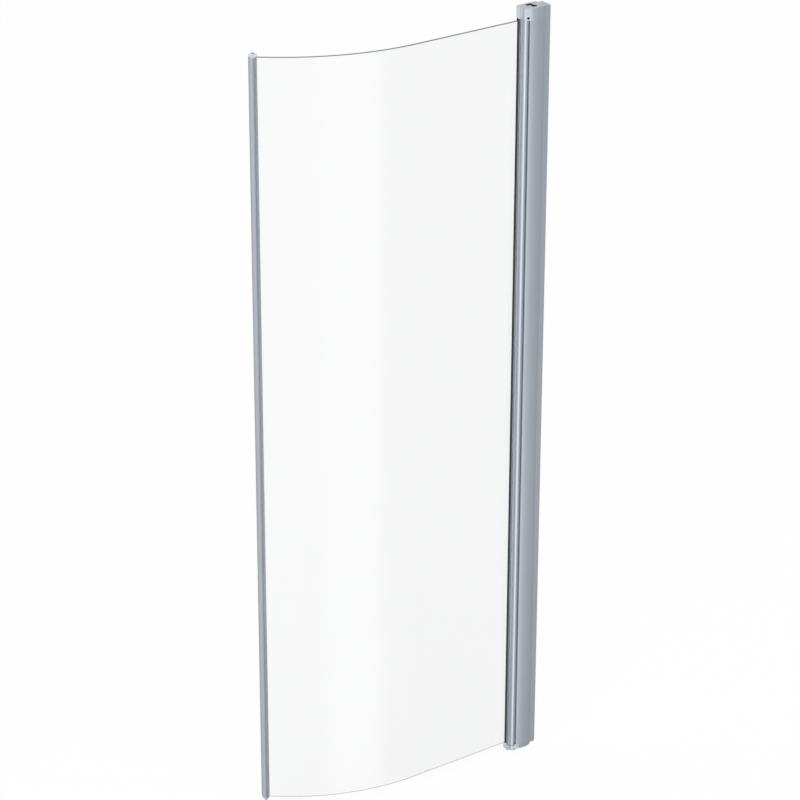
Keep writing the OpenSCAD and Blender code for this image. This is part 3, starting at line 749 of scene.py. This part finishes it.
def gasket_outline():
    """The gasket between the jaws, with a tapering lip on each side of the glass."""
    half = [(jaw_back - 1.0, glass_half), (lip_tip, glass_half), (lip_tip, lip_thin)]
    half += [(jaw_left - 0.3, lip_thick), (jaw_left, lip_thick)]
    half += [(jaw_left, jaw_half), (jaw_back, jaw_half)]
    return mirrored(half, glass_y)


def throat_outline():
    """The soft strip between socket and bead, a short piece of a ring."""
    outside = arc(axis, socket_radius - 0.02, 284, 300)
    inside = arc(axis, bead_radius + 0.4, 300, 284)
    return outside + inside


press("hinge_bead", bead_outlines(), bead_aluminium, corner_mm=0.2)
press("glazing_gasket", [gasket_outline()], black_seal, corner_mm=0.4)
press("socket_seal", [throat_outline()], clear_seal, corner_mm=0.2)

# %% [markdown]
# ### The grip
#
# The closing edge is a pointed oval, drawn out over the whole height. It is both the handle and the
# seat of the magnet. Four shallow arcs and two pairs of flats bound it, and for each direction from
# the middle the outline lies where the first of them is met. It is made in the grip's own plane, with
# x towards the hinge and y towards the inside, and is then turned and moved.

# %% Grip outline
grip_front, grip_back, grip_left, grip_right = 20.5, 16.5, 8.2, 10.0
ridge_shift, face_bulge = 3.0, 1.2
shoulder_front, shoulder_back = 6.0, 5.0
tip_cut = 0.6
slot_in = 1.5
magnet_half, groove_depth = 4.0, 3.5
grip_port = (0.3, 10.5)
grip_middle = (
    bend_start - bend_radius * sin(bend_angle) - grip_flat * cos(bend_angle),
    glass_y + bend_radius - bend_radius * cos(bend_angle) + grip_flat * sin(bend_angle))
print("middle of the grip at", [round(value, 1) for value in grip_middle])


def face_circle(first, second):
    """Centre and radius of the circle that bulges out between two corners."""
    first, second = Vector(first), Vector(second)
    way = second - first
    radius = ((way.length / 2) ** 2 + face_bulge ** 2) / (2 * face_bulge)
    side = Vector((-way.y, way.x)).normalized()
    return (first + second) / 2 - (radius - face_bulge) * side, radius


front_ridge, back_ridge = (ridge_shift, -grip_front), (0.0, grip_back)
face_circles = [
    face_circle(front_ridge, (-grip_left, -shoulder_front)),
    face_circle((grip_right, -shoulder_front), front_ridge),
    face_circle(back_ridge, (grip_right, shoulder_back)),
    face_circle((-grip_left, shoulder_back), back_ridge),
]


def reach_of_grip(turn_angle, inset=0.0):
    """How far the grip's outline lies from its middle in a direction."""
    way = Vector((cos(turn_angle), sin(turn_angle)))
    flats = ((way.x, grip_right if way.x > 0 else grip_left),
             (way.y, (grip_back if way.y > 0 else grip_front) - tip_cut))
    reaches = [(flat - inset) / abs(part) for part, flat in flats if abs(part) > 1e-6]
    for centre, radius in face_circles:
        along = centre.dot(way)
        reaches.append(along + sqrt((radius - inset) ** 2 - centre.length_squared + along ** 2))
    return min(reaches)


def grip_run(start, end, inset=0.0, step=1.5):
    """Points of the grip's outline between two directions, in degrees."""
    turns = turns_between(start, end, step)
    return [(reach_of_grip(t, inset) * cos(t), reach_of_grip(t, inset) * sin(t)) for t in turns]


def in_grip(points):
    """Points of the grip's own plane, turned and moved to their place."""
    c, s = cos(-bend_angle), sin(-bend_angle)
    return [(grip_middle[0] + x * c - y * s, grip_middle[1] + x * s + y * c) for x, y in points]


# %% [markdown]
# The profile has a slot for the glass on its right and a groove for the magnet on its left. A hollow
# in the front nose saves metal. The magnet's soft housing stands proud of the groove, because it has
# to meet the neighbouring profile first.

# %% Grip pieces
def grip_outlines():
    """The grip's outline with its slot and groove, its hollow and its screw port."""
    slot_turn = degrees(atan2(jaw_half, grip_right))
    groove_turn = degrees(atan2(magnet_half, grip_left))
    outer = grip_run(slot_turn, 180 - groove_turn)
    outer += [(-grip_left + groove_depth, magnet_half), (-grip_left + groove_depth, -magnet_half)]
    outer += grip_run(180 + groove_turn, 360 - slot_turn)
    outer += [(-slot_in, -jaw_half), (-slot_in, jaw_half)]
    ceiling = -shoulder_front - jaw_wall
    hollow = [point for point in grip_run(181, 359, jaw_wall, 1.0) if point[1] <= ceiling]
    port = arc(grip_port, port_hole, 0, 348, 12)
    return [in_grip(outer), in_grip(hollow), in_grip(port)]


def magnet_outlines():
    """The magnet's housing, with the pocket that holds the magnet."""
    proud, half, deep, pocket_wall, pocket_deep = 0.8, 3.9, 3.4, 0.78, 3.22
    face = -grip_left - proud
    outer = [(face, half), (deep - grip_left, half)]
    pocket = [(face + pocket_wall, half - pocket_wall), (face + pocket_deep, half - pocket_wall)]
    return [in_grip(mirrored(outer)), in_grip(mirrored(pocket))]


def grip_gasket_outline():
    """The thin gasket round the glass's edge, inside the grip's slot."""
    bottom = -1.0
    half = [(bottom, glass_half), (grip_right, glass_half), (grip_right, jaw_half), (-slot_in, jaw_half)]
    return in_grip(mirrored(half))


press("grip_profile", grip_outlines(), grip_aluminium)
press("grip_gasket", [grip_gasket_outline()], clear_seal, corner_mm=0.2)
press("magnet_seal", magnet_outlines(), grey_seal, corner_mm=0.6)

# %% [markdown]
# ## Castings and moulded caps
#
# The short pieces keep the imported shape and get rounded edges. So does the channel, which is extruded
# but has only flat faces. The first number is the radius of the edges. The second is how near two
# points must lie to be merged, which is more on the castings, whose round faces run into flat ones.

# %% Rounded copies
for nodes, finish, edge, weld in (
    (("top_cap", "bottom_cap"), silver_lacquer, 0.5, 0.08),
    (("top_cap_insert",), gloss_insert, 0.3, 0.002),
    (("wall_channel",), satin_aluminium, 0.25, 0.002),
    (("channel_top_cap", "channel_bottom_cap"), silver_plastic, 0.4, 0.002),
    (("grip_top_cap",), cap_plastic_lit_and_shaded, 0.45, 0.002),
    (("grip_bottom_cap",), silver_plastic, 0.45, 0.002),
    (("top_bush", "bottom_bush"), bearing_plastic, 0.2, 0.002),
    (("thrust_washer",), bearing_plastic, 0.15, 0.002),
    (("top_pivot_pin", "bottom_pivot_pin"), bright_steel, 0.3, 0.002),
    (("adjusting_nuts",), bright_steel, 0.2, 0.002),
    (("magnet_strip",), magnet_rubber, 0.2, 0.002),
):
    for node in nodes:
        rounded_copy(node, finish, edge, weld)

# %% [markdown]
# ## Screws and covers
#
# The same few fasteners come back in several places, which is work for Geometry Nodes: a screw is made
# once, and the tree puts a copy on every point that it gets. The screw is a stack of rings, each with
# a size and a height, from the bottom of the hexagon socket up over the rim and down to the tip.

# %% One screw
ring_points = 24


def ring(radius, height, flats=False):
    """A round ring of points, or a hexagon whose flats lie at the radius."""
    points = []
    for i in range(ring_points):
        turn_angle = 2 * pi * i / ring_points
        off_flat = (turn_angle + pi / 6) % (pi / 3) - pi / 6
        reach = radius / cos(off_flat) if flats else radius
        points.append(Vector((reach * cos(turn_angle), reach * sin(turn_angle), height)) * MM)
    return points


def stack_rings(name, hexagons, rings):
    """A closed mesh from a stack of hexagons, each a width and a height, and rings, each a radius."""
    stack = [ring(width / 2, height, flats=True) for width, height in hexagons]
    stack += [ring(radius, height) for radius, height in rings]
    points = [point for layer in stack for point in layer]
    last_ring = len(points) - ring_points
    faces = [range(ring_points), range(last_ring, len(points))]
    for i in range(last_ring):
        after = i + 1 if (i + 1) % ring_points else i + 1 - ring_points
        faces.append((i, after, after + ring_points, i + ring_points))
    mesh = bpy.data.meshes.new(name)
    mesh.from_pydata(points, [], faces)
    mend_mesh(mesh, tiny)
    mesh.shade_smooth()
    mesh.set_sharp_from_angle(angle=radians(35))
    return mesh


def socket_screw(name, sizes, length, key):
    """A cap screw with its head's top at the origin, pointing down."""
    head_radius, head_height, shank_radius = sizes
    rim = 0.25
    hexagons = [(key, -0.6 * head_height), (key, -0.15), (key + 0.3, 0)]
    rings = [(head_radius - rim, 0), (head_radius - 0.3 * rim, -0.3 * rim), (head_radius, -rim)]
    rings += [(head_radius, -head_height), (shank_radius, -head_height)]
    rings += [(shank_radius, 0.6 - length), (shank_radius - 0.5, -length)]
    return stack_rings(name, hexagons, rings)


# %% [markdown]
# The tree gets the places as the points of a mesh, one shape, and the way that the shape faces. At its
# end, as in the other trees, copies become real geometry, because the export drops instances.

# %% A tree that puts fasteners in their places
def fastener_tree():
    """Geometry Nodes that put one shape on each point."""
    tree, given = geometry_tree(
        "fasteners", {"Places": "Geometry", "Shape": "Object", "Facing": "Vector"})
    shape = add_node(tree, "GeometryNodeObjectInfo", {"Object": given["Shape"]})
    facing = add_node(tree, "FunctionNodeAlignRotationToVector", {"Vector": given["Facing"]}, axis="Z")
    copies = add_node(tree, "GeometryNodeInstanceOnPoints", {
        "Points": given["Places"], "Instance": shape.outputs["Geometry"], "Rotation": facing})
    return put_out(tree, copies, given["Finish"])


fasteners = fastener_tree()


def fasten(node, name, shape_mesh, places_mm, facing, material):
    """Copies of a shape at some places, facing one way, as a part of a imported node."""
    places = bpy.data.meshes.new(name)
    places.from_pydata([Vector(place) * MM for place in places_mm], [], [])
    shape = link_object(name + "_shape", shape_mesh)
    piece = grow(name, fasteners, {"Shape": shape, "Facing": facing, "Finish": material},
                 link_object(name + "_places", places))
    bpy.data.objects.remove(shape)
    mend_mesh(piece.data, tiny)
    settle(piece, node, material)


# %% [markdown]
# The cap screws sit deep in their wells, and the grip's screws stand a little proud of its caps. The
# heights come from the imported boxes. A kind of screw has three sizes: the radius and the height of its
# head, and the radius of its shank.

# %% Screws in the caps
cap_screw, grip_screw, adjusting_screw = (3.2, 2.4, 1.45), (2.7, 2.0, 1.45), (4.0, 2.2, 2.0)
grip_screw_place = in_grip([grip_port])[0]
grip_screw_length, grip_screw_proud = 14.6, 1.2
for node, name, end, facing in (("top_cap_screws", "top_screws", 1, 1),
                                ("bottom_cap_screws", "foot_screws", 0, -1)):
    ends = box_mm(node)
    fasten(node, name, socket_screw(name, cap_screw, ends[1].z - ends[0].z, 2.5),
           [(*port, ends[end].z) for port in (front_port, back_port)], (0, 0, facing), bright_steel)
for name, end, facing in (("grip_screw_top", 1, 1), ("grip_screw_foot", 0, -1)):
    height = box_mm("grip_cap_screws")[end].z + grip_screw_proud * facing
    fasten("grip_cap_screws", name, socket_screw(name, grip_screw, grip_screw_length, 2.0),
           [(*grip_screw_place, height)], (0, 0, facing), black_steel)

# %% [markdown]
# The grub screw has no head. It sits inside its hole in the ear's front and presses on the pivot pin.
# The hole is turned a little towards the leaf.

# %% Grub screw in the ear
grub_radius = (grub_high.z - grub_low.z) / 2
grub_length, grub_start = 6.0, 3.02
grub_turn = radians(8)
grub_way = (-sin(grub_turn), -cos(grub_turn), 0)
grub_face = [axis[k] + (grub_start + grub_length) * grub_way[k] for k in (0, 1)]
grub_socket = [(2.4, -2.0), (2.4, -0.2), (2.8, 0)]
grub_rings = [(grub_radius - 0.4, 0), (grub_radius, -0.4), (grub_radius, 0.5 - grub_length),
              (grub_radius - 0.5, -grub_length)]
fasten("pin_grub_screw", "grub_screw", stack_rings("grub", grub_socket, grub_rings),
       [(*grub_face, grub_height)], grub_way, black_steel)

# %% [markdown]
# On the inside, three snap-on covers hide the screws that fix the post on the channel. They are
# lathed caps with a softly rounded rim.

# %% Adjusting screws and their covers
cover_low, cover_high = box_mm("adjusting_screw_covers")
cover_radius = (cover_high.x - cover_low.x) / 2
cover_height = cover_high.y - cover_low.y
adjust_x = (cover_low.x + cover_high.x) / 2
lowest, highest = cover_low.z + cover_radius, cover_high.z - cover_radius
levels = [lowest, (lowest + highest) / 2, highest]
inner = cover_radius - 1
cover_rings = [
    (inner, 2.3 - cover_height), (inner, -cover_height), (cover_radius, -cover_height),
    (cover_radius, -0.9), (cover_radius - 0.12, -0.5), (cover_radius - 0.4, -0.18),
    (cover_radius - 0.9, 0)]
fasten("adjusting_screw_covers", "screw_covers", stack_rings("cover", [], cover_rings),
       [(adjust_x, cover_high.y, height) for height in levels], (0, 1, 0), silver_plastic)

screw_low, screw_high = box_mm("adjusting_screws")
fasten("adjusting_screws", "adjusting_screws_turned",
       socket_screw("adjusting_screw", adjusting_screw, screw_high.y - screw_low.y, 2.5),
       [(adjust_x, screw_high.y, height) for height in levels], (0, 1, 0), bright_steel)

# %% [markdown]
# ## The studio
#
# The photograph has a pure white ground. The camera, and any ray that comes through the glass, see
# white of strength 1, while the door is lit more gently: the Light Path node tells the rays apart.
# Metal shows the room that it stands in, so the room is a soft grey, darker towards the wall and the
# floor. Soft glows round some directions draw the bands on the bowed metal. Two of them are below
# zero, and so take light away.

# %% World
def seen_directly(tree):
    """1 for rays from the camera, straight or through glass, 0 for the others."""
    path = add_node(tree, "ShaderNodeLightPath").outputs
    bounced = calculate(tree, "ADD", path["Glossy Depth"], path["Diffuse Depth"])
    straight = calculate(tree, "LESS_THAN", bounced, 0.5)
    through = calculate(tree, "MULTIPLY", path["Is Transmission Ray"], straight)
    return calculate(tree, "MAXIMUM", path["Is Camera Ray"], through)


def glow(tree, way, azimuth, height, width):
    """A soft glow of the room round a direction: 1 in its middle, a half at half its width."""
    narrow = log(2) / (1 - cos(radians(width / 2)))
    azimuth, height = radians(azimuth), radians(height)
    centre = (cos(azimuth) * cos(height), sin(azimuth) * cos(height), sin(height))
    toward = vector_math(tree, "DOT_PRODUCT", way, centre, "Value")
    fall = calculate(tree, "MULTIPLY", calculate(tree, "SUBTRACT", toward, 1.0), narrow)
    return calculate(tree, "EXPONENT", fall)


world = bpy.data.worlds.new("studio")
bpy.context.scene.world = world
world.use_nodes = True
tree = world.node_tree
tree.nodes.clear()
way = add_node(tree, "ShaderNodeTexCoord").outputs["Generated"]
level_way = vector_math(tree, "MULTIPLY", way, (1, 1, 0))
level_way = vector_math(tree, "NORMALIZE", level_way)
sideways = add_node(tree, "ShaderNodeSeparateXYZ", {0: level_way}).outputs["X"]
upwards = add_node(tree, "ShaderNodeSeparateXYZ", {0: way}).outputs["Z"]
room = calculate(tree, "MULTIPLY_ADD", sideways, -0.09, 0.64)
for azimuth, width, brightness in ((235, 56, 0.45), (137, 42, 0.62), (40, 50, -0.08)):
    room = calculate(tree, "MULTIPLY_ADD", glow(tree, level_way, azimuth, 0, width), brightness, room)
room = calculate(tree, "MULTIPLY", room, follow(tree, upwards, (-0.60, -0.20), (0.80, 1.14)))
for azimuth, height, width, brightness in ((54, 25, 50, 0.30), (38, -42, 40, -0.40)):
    room = calculate(tree, "MULTIPLY_ADD", glow(tree, way, azimuth, height, width), brightness, room)
to_white = calculate(tree, "SUBTRACT", 1.0, room)
strength = calculate(tree, "MULTIPLY_ADD", seen_directly(tree), to_white, room)
light = add_node(tree, "ShaderNodeBackground", {"Color": (1, 1, 1, 1), "Strength": strength})
add_node(tree, "ShaderNodeOutputWorld", {0: light})
print("studio nodes:", len(tree.nodes))

# %% [markdown]
# The floor lies just under the door's foot. It is white to the camera but keeps a faint shadow,
# because a small share of what the camera sees there is its real, lit surface.

# %% Floor
floor_level = packed_box[0].z - 20 * MM
floor_half = 30.0
corners = [(x * floor_half, y * floor_half, floor_level)
           for x, y in ((-1, -1), (1, -1), (1, 1), (-1, 1))]
floor_mesh = bpy.data.meshes.new("floor")
floor_mesh.from_pydata(corners, [], [(0, 1, 2, 3)])
floor = link_object("floor", floor_mesh)
floor_finish = bpy.data.materials.new("studio floor")
floor_finish.use_nodes = True
tree = floor_finish.node_tree
tree.nodes.clear()
lit = add_node(tree, "ShaderNodeBsdfDiffuse", {"Color": (0.97, 0.97, 0.97, 1)})
white = add_node(tree, "ShaderNodeEmission", {"Color": (1, 1, 1, 1), "Strength": 1.0})
share = calculate(tree, "MULTIPLY", seen_directly(tree), 0.93)
mix = add_node(tree, "ShaderNodeMixShader", {0: share, 1: lit, 2: white})
add_node(tree, "ShaderNodeOutputMaterial", {0: mix})
floor_mesh.materials.append(floor_finish)
floor.visible_glossy = False
print("floor at z", round(floor_level, 4))

# %% [markdown]
# Two large soft boxes light the door. The one above lights all that faces up or to the front, and no
# mirror shows it. The other stands low in front of the leaf. It shows as the bright line on the bead
# and as the pale band in the glass. The band's edges are soft, because the lamp's own edges fade.

# %% Lamps
def soft_box(name, place, target, width, height, brightness, in_mirrors, fade=0.0):
    """A soft box that the camera doesn't see. Brightness is what a mirror would show of it."""
    data = bpy.data.lights.new(name, "AREA")
    data.shape = "RECTANGLE"
    data.size = width
    data.size_y = height
    data.energy = brightness * pi * width * height
    box = link_object(name, data)
    box.location = place
    facing = (Vector(target) - Vector(place)).to_track_quat("-Z", "Y")
    box.rotation_euler = facing.to_euler()
    box.visible_camera = False
    box.visible_transmission = False
    box.visible_glossy = in_mirrors
    if fade:
        across = facing @ Vector((1, 0, 0))
        data.use_nodes = True
        tree = data.node_tree
        spot = add_node(tree, "ShaderNodeNewGeometry").outputs["Position"]
        off = vector_math(tree, "DOT_PRODUCT", spot, across, "Value")
        off = calculate(tree, "ABSOLUTE", calculate(tree, "SUBTRACT", off, across.dot(Vector(place))))
        soft = follow(tree, off, (width / 2, width / 2 - fade), (0.0, 1.0), "SMOOTHSTEP")
        tree.links.new(soft, tree.nodes["Emission"].inputs["Strength"])
    print(name, "energy", round(data.energy, 2))


soft_box("top light", (-1.6, -2.2, 3.0), (-0.35, 0.0, 0.0), width=2.4, height=2.4, brightness=0.8,
         in_mirrors=False)
soft_box("strip light", (-0.50, -0.678, -0.42), (-0.21, 0.0, -0.42), width=0.86, height=2.3,
         brightness=0.72, in_mirrors=True, fade=0.32)

# %% [markdown]
# ## Colour management
#
# The Standard view shows a colour as it is written.

# %% Finish
bpy.context.scene.view_settings.view_transform = "Standard"
